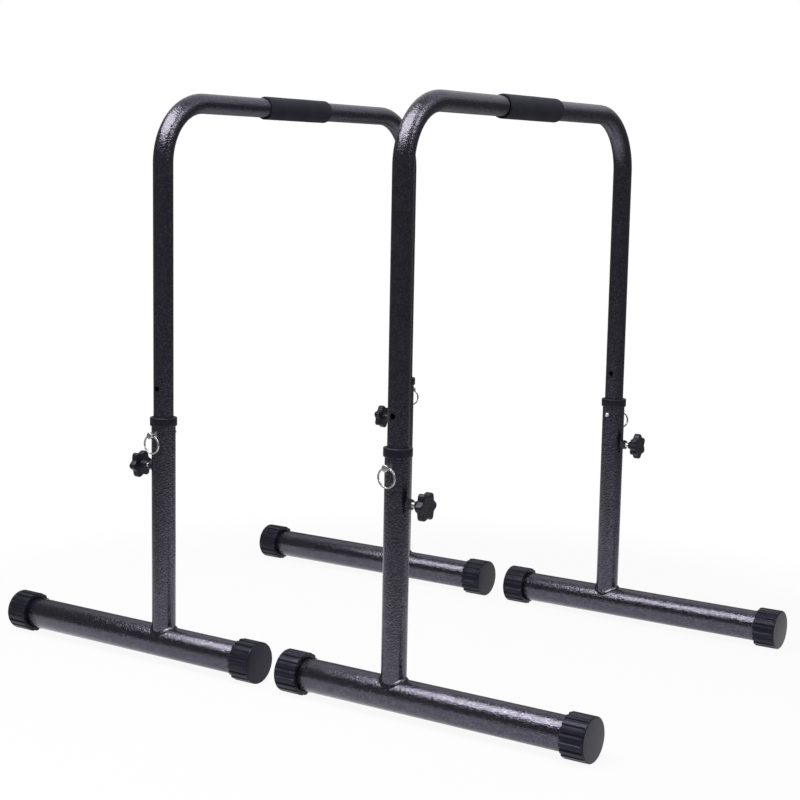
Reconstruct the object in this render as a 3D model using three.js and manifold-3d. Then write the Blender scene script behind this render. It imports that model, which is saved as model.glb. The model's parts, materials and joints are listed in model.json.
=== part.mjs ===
// Dip station: a pair of free-standing height-adjustable dip bars.
// Millimetres, +Z up. The origin is on the floor, halfway between the two frames.
// X runs across the user, from the left frame to the right one, and Y runs along the bars.

import * as THREE from 'three';
import { mergeVertices } from 'three/addons/utils/BufferGeometryUtils.js';
import Module from 'manifold-3d';

const wasm = await Module();
wasm.setup();

// Driving sizes of the tubes
const bar_diameter = 31.75;
const bar_wall = 1.5;
const upright_diameter = 38.1;
const upright_wall = 1.5;
const foot_diameter = 50.8;
const foot_wall = 2;

// Driving sizes of the frame
const inner_feet_gap = 53;
const leg_spacing = 686;
const bend_radius = 95;
const pin_height = 372;
const bar_above_pin = 518;
const foot_short_reach = 197;
const foot_long_reach = 327;

// Height adjustment
const hole_pitch = 72.5;
const holes_above_pin = 1;
const holes_below_pin = 1;
const knob_below_pin = 54;
const leg_tail = 18;

// Clearances shared by the pieces
const seat_gap = 0.3;
const overrun = 2;
const merge_distance = 0.0001;

// End caps of the foot tubes
const cap_length = 38;
const cap_end_wall = 5;
const cap_rib_height = 1.6;
const cap_rim_chamfer = 1.8;
const cap_wall_under_ribs = 5.8;
const cap_crown_share = 0.64;
const cap_ribs = 18;

// Plastic collar on the mouth of each upright
const collar_height = 13.5;
const collar_top_wall = 4;
const collar_skirt_wall = 2.1;
const collar_above_pin = 13;
const collar_sleeve_margin = 2;
const collar_chamfer = 1;

// Weld bead between an upright and its foot
const weld_leg = 4;
const weld_crown_share = 0.55;

// Foam grip in the middle of each bar
const grip_length = 166;
const grip_wall = 3.2;
const grip_end_rounding = 1.6;

// How far each grip has slid from the middle of its bar, towards +Y
const left_grip_shift = -10;
const right_grip_shift = 7;

// Lock pin through the upright and the leg of the bar
const pin_diameter = 7.9;
const pin_hole_clearance = 0.35;
const pin_tip_reach = 9.5;
const pin_head_diameter = 10.5;
const pin_head_length = 15;
const pin_head_chamfer = 0.8;
const pin_eye_inset = 6;

// Ring on the lock pin's head
const ring_wire = 2.3;
const ring_inner_diameter = 26.6;
const ring_eye_clearance = 0.4;

// Clamping knob, its stud and the nut that is welded on the upright
const stud_diameter = 8;
const nut_across_flats = 14;
const nut_reach = 8;
const stud_bare_length = 6;
const stud_in_knob = 14;
const knob_hub_diameter = 13;
const knob_hub_length = 10.5;
const knob_tip_diameter = 44;
const knob_rim_thickness = 11;
const knob_lobe_depth = 4.8;
const knob_chamfer = 1.6;
const knob_lobes = 6;

// How far each knob is turned away from a lobe that points up
const left_front_knob_turn = Math.PI / 5;
const left_back_knob_turn = Math.PI / 18;
const right_front_knob_turn = Math.PI / 6;
const right_back_knob_turn = 0;

// Numbers of flat faces that stand for the round ones
const tube_sides = 20;
const bend_steps = 7;
const hole_sides = 10;
const pin_sides = 12;
const ring_steps = 22;
const ring_sides = 5;
const points_per_lobe = 6;

// Sizes that follow from the driving ones
const bar_radius = bar_diameter / 2;
const bar_bore_radius = bar_radius - bar_wall;
const upright_radius = upright_diameter / 2;
const upright_bore_radius = upright_radius - upright_wall;
const foot_radius = foot_diameter / 2;
const cap_root_radius = foot_radius + cap_wall_under_ribs;
const cap_radius = cap_root_radius + cap_rib_height;
const foot_height = cap_radius * Math.cos((Math.PI * cap_crown_share) / cap_ribs);
const bar_height = pin_height + bar_above_pin;
const knob_height = pin_height - knob_below_pin;
const frame_spacing = 2 * foot_short_reach + inner_feet_gap;
const leg_end_height = knob_height - holes_below_pin * hole_pitch - leg_tail;
const collar_radius = upright_radius + seat_gap + collar_skirt_wall;
const collar_bottom = pin_height + collar_above_pin;
const pin_radius = pin_diameter / 2;
const pin_hole_radius = pin_radius + pin_hole_clearance;
const stud_radius = stud_diameter / 2;

// Finishes
const hammered_paint = new THREE.MeshStandardMaterial({ color: 0x4a4950, roughness: 0.35, metalness: 0.6 });
const foam = new THREE.MeshStandardMaterial({ color: 0x1f1f23, roughness: 0.9, metalness: 0 });
const ribbed_rubber = new THREE.MeshStandardMaterial({ color: 0x26262b, roughness: 0.6, metalness: 0 });
const moulded_plastic = new THREE.MeshStandardMaterial({ color: 0x1b1b20, roughness: 0.45, metalness: 0 });
const zinc = new THREE.MeshStandardMaterial({ color: 0xb9bbc0, roughness: 0.25, metalness: 1 });

// A closed geometry becomes a solid that can be cut or joined
function to_solid(geometry) {
  const bare = geometry.clone();
  bare.deleteAttribute('normal');
  bare.deleteAttribute('uv');
  const merged = mergeVertices(bare, merge_distance);
  const mesh = new wasm.Mesh({
    numProp: 3,
    vertProperties: new Float32Array(merged.attributes.position.array),
    triVerts: new Uint32Array(merged.index.array),
  });
  return new wasm.Manifold(mesh);
}

// A solid becomes a geometry again
function to_geometry(solid) {
  const mesh = solid.getMesh();
  const geometry = new THREE.BufferGeometry();
  geometry.setAttribute('position', new THREE.BufferAttribute(new Float32Array(mesh.vertProperties), 3));
  geometry.setIndex(new THREE.BufferAttribute(new Uint32Array(mesh.triVerts), 1));
  return geometry;
}

function cut(body, tools) {
  let solid = to_solid(body);
  for (const tool of tools) {
    solid = solid.subtract(to_solid(tool));
  }
  return to_geometry(solid);
}

// A round bar along an axis, from one place on it to another
function rod(axis, from, to, radius, sides) {
  const geometry = new THREE.CylinderGeometry(radius, radius, to - from, sides);
  geometry.translate(0, (from + to) / 2, 0);
  if (axis === 'x') {
    geometry.rotateZ(-Math.PI / 2);
  }
  if (axis === 'z') {
    geometry.rotateX(Math.PI / 2);
  }
  return geometry;
}

// A body turned about Z from a profile of [radius, height] points
function turned(profile, sides) {
  const points = profile.map(([radius, height]) => new THREE.Vector2(radius, height));
  const geometry = new THREE.LatheGeometry(points, sides);
  geometry.rotateX(Math.PI / 2);
  return geometry;
}

// A ring profile closes on itself, so that the turned body has a bore
function turned_ring(profile, sides) {
  return turned([...profile, profile[0]], sides);
}

// A body through rings of points, each ring with as many points as the others,
// closed with a fan at both ends
function loft(rings) {
  const count = rings[0].length;
  const positions = [];
  const indices = [];
  for (const ring of rings) {
    for (const point of ring) {
      positions.push(point.x, point.y, point.z);
    }
  }
  for (let row = 0; row < rings.length - 1; row += 1) {
    for (let step = 0; step < count; step += 1) {
      const next = (step + 1) % count;
      const a = row * count + step;
      const b = row * count + next;
      indices.push(a, b, b + count, a, b + count, a + count);
    }
  }
  const last = rings.length - 1;
  for (const [row, flip] of [[0, true], [last, false]]) {
    const centre = positions.length / 3;
    const middle = new THREE.Vector3();
    for (const point of rings[row]) {
      middle.add(point);
    }
    middle.divideScalar(count);
    positions.push(middle.x, middle.y, middle.z);
    for (let step = 0; step < count; step += 1) {
      const a = row * count + step;
      const b = row * count + (step + 1) % count;
      indices.push(centre, flip ? b : a, flip ? a : b);
    }
  }
  const geometry = new THREE.BufferGeometry();
  geometry.setAttribute('position', new THREE.Float32BufferAttribute(positions, 3));
  geometry.setIndex(indices);
  return geometry;
}

// One ring of a loft along Z: the radius at each of the angles, at a height
function level_ring(angles, radius_at, height) {
  return angles.map((angle, step) => {
    const radius = radius_at(angle, step);
    return new THREE.Vector3(radius * Math.cos(angle), radius * Math.sin(angle), height);
  });
}

// The middle line of the bent bar: up one leg, round a bend, along the bar and down again.
// Its stations lie only where the line starts, ends or bends.
class BarLine extends THREE.Curve {
  constructor(low_end) {
    super();
    this.stations = [];
    const half = leg_spacing / 2;
    const bend_height = bar_height - bend_radius;
    this.add_station(-half, low_end, Math.PI / 2);
    for (let step = 0; step <= bend_steps; step += 1) {
      const turn = (Math.PI / 2) * (step / bend_steps);
      const y = -half + bend_radius * (1 - Math.cos(turn));
      this.add_station(y, bend_height + bend_radius * Math.sin(turn), Math.PI / 2 - turn);
    }
    for (let step = 0; step <= bend_steps; step += 1) {
      const turn = (Math.PI / 2) * (step / bend_steps);
      const y = half - bend_radius * (1 - Math.sin(turn));
      this.add_station(y, bend_height + bend_radius * Math.cos(turn), -turn);
    }
    this.add_station(half, low_end, -Math.PI / 2);
  }

  add_station(y, z, slope) {
    this.stations.push({
      place: new THREE.Vector3(0, y, z),
      direction: new THREE.Vector3(0, Math.cos(slope), Math.sin(slope)),
    });
  }

  station_at(share) {
    return this.stations[Math.round(share * (this.stations.length - 1))];
  }

  getPoint(share) {
    return this.station_at(share).place.clone();
  }

  getPointAt(share) {
    return this.station_at(share).place.clone();
  }

  getTangentAt(share) {
    return this.station_at(share).direction.clone();
  }
}

function round_section(radius) {
  const points = [];
  for (let step = 0; step < tube_sides; step += 1) {
    const angle = (2 * Math.PI * step) / tube_sides;
    points.push(new THREE.Vector2(radius * Math.cos(angle), radius * Math.sin(angle)));
  }
  return new THREE.Shape(points);
}

function swept_bar(radius, low_end) {
  const line = new BarLine(low_end);
  return new THREE.ExtrudeGeometry(round_section(radius), {
    steps: line.stations.length - 1,
    extrudePath: line,
    bevelEnabled: false,
  });
}

// The bent bar: one tube, with the lock pin's holes through both legs
function bar_geometry() {
  const tools = [swept_bar(bar_bore_radius, leg_end_height - overrun)];
  const reach = leg_spacing / 2 + bar_radius + overrun;
  const inside = leg_spacing / 2 - bar_radius - overrun;
  for (let level = -holes_below_pin; level <= holes_above_pin; level += 1) {
    for (const side of [-1, 1]) {
      const hole = rod('y', inside, reach, pin_hole_radius, hole_sides);
      if (side < 0) {
        hole.rotateZ(Math.PI);
      }
      hole.translate(0, 0, pin_height + level * hole_pitch);
      tools.push(hole);
    }
  }
  return cut(swept_bar(bar_radius, leg_end_height), tools);
}

// Foam sleeve along Y around the middle of the bar
function grip_geometry() {
  const inner = bar_radius + seat_gap;
  const outer = bar_radius + grip_wall;
  const half = grip_length / 2;
  const round = grip_end_rounding;
  const profile = [
    [inner, -half],
    [outer - round, -half],
    [outer, -half + round],
    [outer, half - round],
    [outer - round, half],
    [inner, half],
  ];
  const geometry = turned_ring(profile, tube_sides);
  geometry.rotateX(Math.PI / 2);
  geometry.translate(0, 0, bar_height);
  return geometry;
}

// Foot tube along X, open at both ends under its caps
function foot_geometry() {
  const inset = cap_end_wall + seat_gap;
  const outer = rod('x', -foot_long_reach + inset, foot_short_reach - inset, foot_radius, tube_sides);
  const far = foot_long_reach + overrun;
  const near = foot_short_reach + overrun;
  return cut(outer, [rod('x', -far, near, foot_radius - foot_wall, tube_sides)]);
}

// Upright tube, saddled over the foot, with a hole for the lock pin and one for the stud
function upright_geometry() {
  const top = collar_bottom + collar_height - collar_top_wall - seat_gap;
  const blank = rod('z', 0, top - foot_height, upright_radius, tube_sides);
  const across = upright_radius + overrun;
  const pin_hole = rod('y', -across, across, pin_hole_radius, hole_sides);
  pin_hole.translate(0, 0, pin_height - foot_height);
  const stud_hole = rod('x', -across, 0, stud_radius + seat_gap, hole_sides);
  stud_hole.translate(0, 0, knob_height - foot_height);
  const tools = [
    rod('z', -overrun, top, upright_bore_radius, tube_sides),
    rod('x', -across, across, foot_radius + seat_gap, tube_sides),
    pin_hole,
    stud_hole,
  ];
  return cut(blank, tools);
}

// Height of the foot's round top at a distance across it
function saddle_height(across) {
  return Math.sqrt(foot_radius ** 2 - across ** 2);
}

// Weld bead that follows the saddle line around the upright. It starts inside the foot,
// and is then cut to lie on it.
function weld_geometry() {
  const section = (angle) => {
    const inner = upright_radius + seat_gap;
    const outer = inner + weld_leg;
    const lean = weld_leg * weld_crown_share;
    const low = saddle_height(inner * Math.sin(angle));
    const toe = saddle_height(outer * Math.sin(angle));
    const crown = saddle_height((inner + lean) * Math.sin(angle)) + lean;
    return [[inner, low - overrun], [outer, toe - overrun], [inner + lean, crown], [inner, low + weld_leg]];
  };
  const positions = [];
  const indices = [];
  const corners = section(0).length;
  for (let step = 0; step < tube_sides; step += 1) {
    const angle = (2 * Math.PI * step) / tube_sides;
    for (const [radius, height] of section(angle)) {
      positions.push(radius * Math.cos(angle), radius * Math.sin(angle), height);
    }
    const next = (step + 1) % tube_sides;
    for (let corner = 0; corner < corners; corner += 1) {
      const a = step * corners + corner;
      const b = step * corners + (corner + 1) % corners;
      const c = next * corners + (corner + 1) % corners;
      const d = next * corners + corner;
      indices.push(a, d, c, a, c, b);
    }
  }
  const geometry = new THREE.BufferGeometry();
  geometry.setAttribute('position', new THREE.Float32BufferAttribute(positions, 3));
  geometry.setIndex(indices);
  return cut(geometry, [rod('x', -foot_diameter, foot_diameter, foot_radius + seat_gap, tube_sides)]);
}

// Ribbed cap over one end of a foot tube. Its end face lies at zero and it runs towards +X.
// Each rib has a flat crown, and a crown lies lowest, on the floor.
function cap_geometry() {
  const corner_shares = [-cap_crown_share / 2, cap_crown_share / 2, 1 / 2];
  const angles = [];
  for (let rib = 0; rib < cap_ribs; rib += 1) {
    for (const share of corner_shares) {
      angles.push(((rib + share) * 2 * Math.PI) / cap_ribs);
    }
  }
  const groove = corner_shares.length - 1;
  const ribbed = (angle, step) => (step % corner_shares.length === groove ? cap_root_radius : cap_radius);
  const face = () => cap_radius - cap_rim_chamfer;
  const rings = [
    level_ring(angles, face, 0),
    level_ring(angles, ribbed, cap_rim_chamfer),
    level_ring(angles, ribbed, cap_length),
  ];
  const bore = rod('z', cap_end_wall, cap_length + overrun, foot_radius + seat_gap, tube_sides);
  const geometry = cut(loft(rings), [bore]);
  geometry.rotateY(Math.PI / 2);
  return geometry;
}

// Collar: a lip on the upright's mouth, a skirt outside it and a sleeve between the two tubes
function collar_geometry() {
  const top = collar_bottom + collar_height;
  const seat = top - collar_top_wall;
  const bore = bar_radius + seat_gap;
  const sleeve = upright_bore_radius - seat_gap;
  const sleeve_end = pin_height + pin_hole_radius + collar_sleeve_margin;
  const skirt = upright_radius + seat_gap;
  const profile = [
    [bore, sleeve_end],
    [sleeve, sleeve_end],
    [sleeve, seat],
    [skirt, seat],
    [skirt, collar_bottom],
    [collar_radius, collar_bottom + collar_chamfer],
    [collar_radius, top - collar_chamfer],
    [collar_radius - collar_chamfer, top],
    [bore, top],
  ];
  return turned_ring(profile, tube_sides);
}

// Hexagon nut on the upright's outer side, along -X from the upright's axis
function nut_geometry() {
  const hexagon_sides = 6;
  const radius = nut_across_flats / (2 * Math.cos(Math.PI / hexagon_sides));
  const reach = upright_radius + nut_reach;
  const body = rod('x', -reach, 0, radius, hexagon_sides);
  const bore = rod('x', -reach - overrun, 0, stud_radius + seat_gap, hole_sides);
  const tube = rod('z', -reach, reach, upright_radius + seat_gap, tube_sides);
  return cut(body, [bore, tube]);
}

const knob_base = upright_radius + nut_reach + stud_bare_length;
const knob_face = knob_base + knob_hub_length + knob_rim_thickness;

// Stud from the bar's leg, through the upright and the nut, into the knob
function stud_geometry() {
  const tip = bar_radius + seat_gap;
  return rod('x', -knob_base - stud_in_knob, -tip, stud_radius, hole_sides);
}

// Star knob along -X: a hub towards the upright and a lobed rim
function knob_geometry() {
  const count = knob_lobes * points_per_lobe;
  const angles = Array.from({ length: count }, (unused, step) => (2 * Math.PI * step) / count);
  const tip = knob_tip_diameter / 2;
  const hub = () => knob_hub_diameter / 2;
  const star = (angle) => {
    const fall = (1 - Math.cos(knob_lobes * angle)) / 2;
    return tip - knob_lobe_depth * fall;
  };
  const bevelled = (angle) => star(angle) - knob_chamfer;
  const rings = [
    level_ring(angles, hub, 0),
    level_ring(angles, hub, knob_hub_length),
    level_ring(angles, star, knob_hub_length),
    level_ring(angles, star, knob_hub_length + knob_rim_thickness - knob_chamfer),
    level_ring(angles, bevelled, knob_hub_length + knob_rim_thickness),
  ];
  const bore = rod('z', -overrun, stud_in_knob + seat_gap, stud_radius + seat_gap, hole_sides);
  const geometry = cut(loft(rings), [bore]);
  geometry.rotateY(-Math.PI / 2);
  geometry.translate(-knob_base, 0, 0);
  return geometry;
}

const pin_shoulder = upright_radius + seat_gap;
const pin_head_end = pin_shoulder + pin_head_length;
const pin_eye = pin_head_end - pin_eye_inset;
const ring_radius = ring_inner_diameter / 2 + ring_wire / 2;

// Lock pin along -Y: round tip inside the frame, head with a cross hole outside it
function pin_geometry() {
  const tip = -upright_radius - pin_tip_reach;
  const head_radius = pin_head_diameter / 2;
  const round = pin_radius * Math.cos(Math.PI / 4);
  const profile = [
    [0, tip],
    [round, tip + pin_radius - round],
    [pin_radius, tip + pin_radius],
    [pin_radius, pin_shoulder],
    [head_radius, pin_shoulder],
    [head_radius, pin_head_end - pin_head_chamfer],
    [head_radius - pin_head_chamfer, pin_head_end],
    [0, pin_head_end],
  ];
  const body = turned(profile, pin_sides);
  const sag = ring_radius - Math.sqrt(ring_radius ** 2 - head_radius ** 2);
  const eye_radius = ring_wire / 2 + sag + ring_eye_clearance;
  const eye = rod('x', -head_radius - overrun, head_radius + overrun, eye_radius, hole_sides);
  eye.translate(0, 0, pin_eye);
  const geometry = cut(body, [eye]);
  geometry.rotateX(Math.PI / 2);
  return geometry;
}

// Ring that hangs from the lock pin's head, in a plane across Y
function ring_geometry() {
  const geometry = new THREE.TorusGeometry(ring_radius, ring_wire / 2, ring_sides, ring_steps);
  geometry.rotateX(Math.PI / 2);
  geometry.translate(0, -pin_eye, -ring_radius);
  return geometry;
}

function named_mesh(name, geometry, material) {
  const mesh = new THREE.Mesh(geometry, material);
  mesh.name = name;
  return mesh;
}

const bar = bar_geometry();
const grip = grip_geometry();
const foot = foot_geometry();
const upright = upright_geometry();
const weld = weld_geometry();
const cap = cap_geometry();
const collar = collar_geometry();
const nut = nut_geometry();
const stud = stud_geometry();
const knob = knob_geometry();
const pin = pin_geometry();
const ring = ring_geometry();

// One leg: its foot points away from the other frame along -X, its lock pin goes in along +Y
function make_leg(prefix, knob_turn) {
  const leg = new THREE.Group();
  const foot_tube = named_mesh(`${prefix}_foot_tube`, foot, hammered_paint);
  foot_tube.position.z = foot_height;
  const outer_cap = named_mesh(`${prefix}_outer_end_cap`, cap, ribbed_rubber);
  outer_cap.position.set(-foot_long_reach, 0, foot_height);
  const inner_cap = named_mesh(`${prefix}_inner_end_cap`, cap, ribbed_rubber);
  inner_cap.position.set(foot_short_reach, 0, foot_height);
  inner_cap.rotation.z = Math.PI;
  const upright_tube = named_mesh(`${prefix}_upright`, upright, hammered_paint);
  upright_tube.position.z = foot_height;
  const weld_bead = named_mesh(`${prefix}_weld_bead`, weld, hammered_paint);
  weld_bead.position.z = foot_height;
  const collar_ring = named_mesh(`${prefix}_collar`, collar, moulded_plastic);
  const clamp_nut = named_mesh(`${prefix}_clamp_nut`, nut, hammered_paint);
  clamp_nut.position.z = knob_height;
  const clamp_stud = named_mesh(`${prefix}_clamp_stud`, stud, zinc);
  clamp_stud.position.z = knob_height;
  const clamp_knob = named_mesh(`${prefix}_clamp_knob`, knob, moulded_plastic);
  clamp_knob.position.z = knob_height;
  clamp_knob.rotation.x = knob_turn;
  leg.add(foot_tube, outer_cap, inner_cap, upright_tube, weld_bead, collar_ring);
  leg.add(clamp_nut, clamp_stud, clamp_knob);
  return leg;
}

function make_lock(prefix) {
  const lock = new THREE.Group();
  lock.position.z = pin_height;
  lock.add(named_mesh(`${prefix}_lock_pin`, pin, zinc));
  lock.add(named_mesh(`${prefix}_pin_ring`, ring, zinc));
  return lock;
}

// One frame, with its feet reaching further out on its -X side. The first leg stands at -Y.
function make_frame(side, first, second, knob_turns, grip_shift) {
  const frame = new THREE.Group();
  frame.add(named_mesh(`${side}_bar`, bar, hammered_paint));
  const grip_sleeve = named_mesh(`${side}_grip`, grip, foam);
  grip_sleeve.position.y = grip_shift;
  frame.add(grip_sleeve);
  for (const [name, direction, knob_turn] of [[first, -1, knob_turns[0]], [second, 1, knob_turns[1]]]) {
    const prefix = `${side}_${name}`;
    const leg = make_leg(prefix, knob_turn);
    const lock = make_lock(prefix);
    if (direction > 0) {
      lock.rotation.z = Math.PI;
    }
    leg.position.y = (direction * leg_spacing) / 2;
    leg.add(lock);
    frame.add(leg);
  }
  return frame;
}

const dip_station = new THREE.Group();
const left_knob_turns = [left_front_knob_turn, left_back_knob_turn];
const left_frame = make_frame('left', 'front', 'back', left_knob_turns, left_grip_shift);
left_frame.position.x = -frame_spacing / 2;
const right_knob_turns = [right_back_knob_turn, right_front_knob_turn];
const right_frame = make_frame('right', 'back', 'front', right_knob_turns, -right_grip_shift);
right_frame.position.x = frame_spacing / 2;
right_frame.rotation.z = Math.PI;
dip_station.add(left_frame, right_frame);

export default dip_station;
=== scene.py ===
"""Dip station: a pair of free-standing, height-adjustable dip bars.

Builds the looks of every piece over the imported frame, then the stage around them.
All sizes are in metres, +Z is up, X runs across the user and Y along the bars.
Each leg is drawn about its own axis with its knob towards -X and its lock pin's
head towards -Y, and is then turned and moved to its place.
"""

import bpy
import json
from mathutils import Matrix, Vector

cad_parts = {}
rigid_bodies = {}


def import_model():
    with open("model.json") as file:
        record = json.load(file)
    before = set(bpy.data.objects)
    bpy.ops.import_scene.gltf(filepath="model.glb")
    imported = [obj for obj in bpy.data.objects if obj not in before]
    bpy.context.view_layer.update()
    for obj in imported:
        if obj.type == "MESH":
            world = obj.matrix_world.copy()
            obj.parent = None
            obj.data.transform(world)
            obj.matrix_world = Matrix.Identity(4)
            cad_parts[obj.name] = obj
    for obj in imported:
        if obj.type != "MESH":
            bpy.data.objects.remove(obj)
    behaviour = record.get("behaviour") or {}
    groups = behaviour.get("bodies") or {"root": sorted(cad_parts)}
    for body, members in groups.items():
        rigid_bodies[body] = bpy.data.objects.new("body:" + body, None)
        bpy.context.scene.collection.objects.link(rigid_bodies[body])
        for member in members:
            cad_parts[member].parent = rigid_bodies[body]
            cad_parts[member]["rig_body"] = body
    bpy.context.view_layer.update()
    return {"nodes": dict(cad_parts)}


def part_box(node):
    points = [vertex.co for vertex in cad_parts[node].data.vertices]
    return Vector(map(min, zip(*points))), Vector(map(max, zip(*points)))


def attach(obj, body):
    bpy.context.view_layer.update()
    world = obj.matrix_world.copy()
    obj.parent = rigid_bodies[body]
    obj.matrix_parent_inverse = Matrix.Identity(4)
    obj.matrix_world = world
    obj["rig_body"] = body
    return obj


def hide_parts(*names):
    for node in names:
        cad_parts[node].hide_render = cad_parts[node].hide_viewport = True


bl_info = {
    "name": "Dip Station",
    "version": (1, 0, 0),
    "blender": (4, 5, 0),
    "location": "3D View > Sidebar > Dip Station",
    "description": "Builds a pair of free-standing dip bars over its packed frame",
    "category": "Object",
}

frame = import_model()

import json
import math

import bmesh
import bpy
from bpy.props import FloatProperty, FloatVectorProperty, IntProperty, PointerProperty
from mathutils import Matrix, Vector, noise

LEGS = ("left_front", "left_back", "right_front", "right_back")
SIDES = ("left", "right")

# The material made here for each slot of the frame
LOOKS = {
    "hammered_paint": "blue_grey_hammered_paint",
    "foam": "black_grip_foam",
    "ribbed_rubber": "black_cap_rubber",
    "moulded_plastic": "black_moulded_plastic",
    "zinc_plate": "bright_zinc_plate",
}

# The blue in the gloss of the black pieces: faint on foam and plastic, stronger on rubber
COOL = (0.78, 0.77, 1.0, 1.0)
COLD = (0.70, 0.69, 1.0, 1.0)

# The camera, fitted to the straight edges of the tubes in the photograph, with its roll in radians
# and its lens and sensor in millimetres
CAMERA_PLACE = (1.506, -2.265, 0.783)
CAMERA_YAW = math.radians(34.34)
CAMERA_PITCH = math.radians(8.24)
CAMERA_ROLL = 0.0174
CAMERA_LENS = 73.714
CAMERA_SHIFT = (0.0237, 0.0154)
SENSOR_WIDTH = 36.0
FARTHEST_VIEW = 50.0

# Where each soft box hangs and the point it faces, found from the photograph's highlights
KEY_PLACE, KEY_TARGET = (-0.2, -1.3, 2.4), (-0.2, -1.29, 0.0)
SIDE_PLACE, SIDE_TARGET = (2.64, 0.18, 2.58), (0.24, -0.33, 0.86)
BOX_COLOUR = (1.0, 0.985, 0.94)

# The tent's middle, its cloth, and the directions, upwards and backwards, over which it grows pale
TENT_HEIGHT = 0.4
TENT_COLOUR = (0.97, 0.97, 1.0)
PALE_UPWARDS = (0.18, 0.6)
PALE_BACKWARDS = (-0.25, 0.45)

# How much of the floor's white is its own glow, and the share of its radius at which it has faded out
FLOOR_GLOW = 0.92
FADE_END = 0.98

# How far the floor and the far floor lie under the feet
FLOOR_DROP = 0.0002
FAR_FLOOR_DROP = 0.0004

WHITE = (1.0, 1.0, 1.0)

# Small roundings of cut and moulded edges
BURR = 0.0003
LIP = 0.0005

# How far above and below a hole its tube gets rings of its own, in widths of the hole
NEAR_HOLE = 0.8

# The most of an edge that the rounding at one of its ends may take
NEAR_HALF = 0.49

# How the nodes are laid out in the editor
NODES_IN_ROW, NODE_WIDTH, NODE_HEIGHT = 8, 200, 280


def span(node, axis):
    low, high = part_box(node)
    return high[axis] - low[axis]


def middle(node, axis):
    low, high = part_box(node)
    return (high[axis] + low[axis]) / 2


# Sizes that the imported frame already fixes, read on the left front leg
LEG = "left_front"
LEG_X = middle(f"{LEG}_collar", 0)
LEG_Y = middle(f"{LEG}_collar", 1)
BAR_DIAMETER = span("left_bar", 0)
BAR_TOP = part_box("left_bar")[1].z
LEG_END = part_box("left_bar")[0].z
LEG_SPACING = span("left_bar", 1) - BAR_DIAMETER
UPRIGHT_DIAMETER = span(f"{LEG}_upright", 0)
UPRIGHT_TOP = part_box(f"{LEG}_upright")[1].z
FOOT_DIAMETER = span(f"{LEG}_foot_tube", 2)
FOOT_HEIGHT = middle(f"{LEG}_foot_tube", 2)
FOOT_OUTER_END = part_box(f"{LEG}_foot_tube")[0].x - LEG_X
FOOT_INNER_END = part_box(f"{LEG}_foot_tube")[1].x - LEG_X
CAP_OUTER_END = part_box(f"{LEG}_outer_end_cap")[0].x - LEG_X
CAP_INNER_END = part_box(f"{LEG}_inner_end_cap")[1].x - LEG_X
CAP_LENGTH = span(f"{LEG}_outer_end_cap", 0)
COLLAR_DIAMETER = span(f"{LEG}_collar", 0)
COLLAR_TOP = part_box(f"{LEG}_collar")[1].z
SLEEVE_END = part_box(f"{LEG}_collar")[0].z
WELD_REACH = span(f"{LEG}_weld_bead", 0) / 2
KNOB_HEIGHT = middle(f"{LEG}_clamp_stud", 2)
STUD_DIAMETER = span(f"{LEG}_clamp_stud", 2)
STUD_FAR_END = LEG_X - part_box(f"{LEG}_clamp_stud")[0].x
STUD_NEAR_END = LEG_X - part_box(f"{LEG}_clamp_stud")[1].x
NUT_REACH = LEG_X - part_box(f"{LEG}_clamp_nut")[0].x
NUT_ACROSS_FLATS = span(f"{LEG}_clamp_nut", 1)
KNOB_BASE = LEG_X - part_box(f"{LEG}_clamp_knob")[1].x
KNOB_FACE = LEG_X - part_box(f"{LEG}_clamp_knob")[0].x
PIN_HEIGHT = middle(f"{LEG}_lock_pin", 2)
PIN_HEAD_DIAMETER = span(f"{LEG}_lock_pin", 0)
PIN_HEAD_END = LEG_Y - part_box(f"{LEG}_lock_pin")[0].y
PIN_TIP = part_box(f"{LEG}_lock_pin")[1].y - LEG_Y
PIN_EYE = LEG_Y - middle(f"{LEG}_pin_ring", 1)
RING_OUTER_DIAMETER = span(f"{LEG}_pin_ring", 2)
RING_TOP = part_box(f"{LEG}_pin_ring")[1].z
GRIP_LENGTH = span("left_grip", 1)
GRIP_DIAMETER = span("left_grip", 0)


def metres(name, description, default):
    return FloatProperty(
        name=name, description=description, default=default, min=0.0, subtype="DISTANCE", unit="LENGTH", precision=5
    )


def share(name, description, default):
    return FloatProperty(name=name, description=description, default=default, min=0.0, max=1.0, subtype="FACTOR")


def turn(name, description, default):
    return FloatProperty(name=name, description=description, default=default, subtype="ANGLE", unit="ROTATION")


def amount(name, description, default):
    return FloatProperty(name=name, description=description, default=default, min=0.0)


def count(name, description, default, least):
    return IntProperty(name=name, description=description, default=default, min=least)


def paint(name, description, default):
    return FloatVectorProperty(
        name=name, description=description, default=default, min=0.0, max=1.0, size=3, subtype="COLOR"
    )


class DIP_PG_tubes(bpy.types.PropertyGroup):
    """Sizes of the bent bars, the uprights and the feet"""

    bar_diameter: metres("Bar Diameter", "Outside width of the bent bar's tube", BAR_DIAMETER)
    bar_wall: metres("Bar Wall", "Wall of the bent bar's tube", 0.0015)
    bend_radius: metres("Bend Radius", "Radius of the bends on the tube's middle line", 0.095)
    upright_diameter: metres("Upright Diameter", "Outside width of the uprights", UPRIGHT_DIAMETER)
    upright_wall: metres("Upright Wall", "Wall of the uprights", 0.0015)
    foot_diameter: metres("Foot Diameter", "Outside width of the foot tubes", FOOT_DIAMETER)
    foot_wall: metres("Foot Wall", "Wall of the foot tubes", 0.002)
    hole_pitch: metres("Hole Pitch", "Distance between the lock pin's holes in the bar", 0.0725)
    hole_diameter: metres("Hole Diameter", "Width of the lock pin's holes", 0.0086)
    fit_gap: metres("Fit Gap", "Room between pieces that sit in each other", 0.0003)
    sides: count("Sides", "Flat faces around each tube", 96, 12)
    bend_steps: count("Bend Steps", "Rings of faces in each bend", 30, 4)


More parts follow.
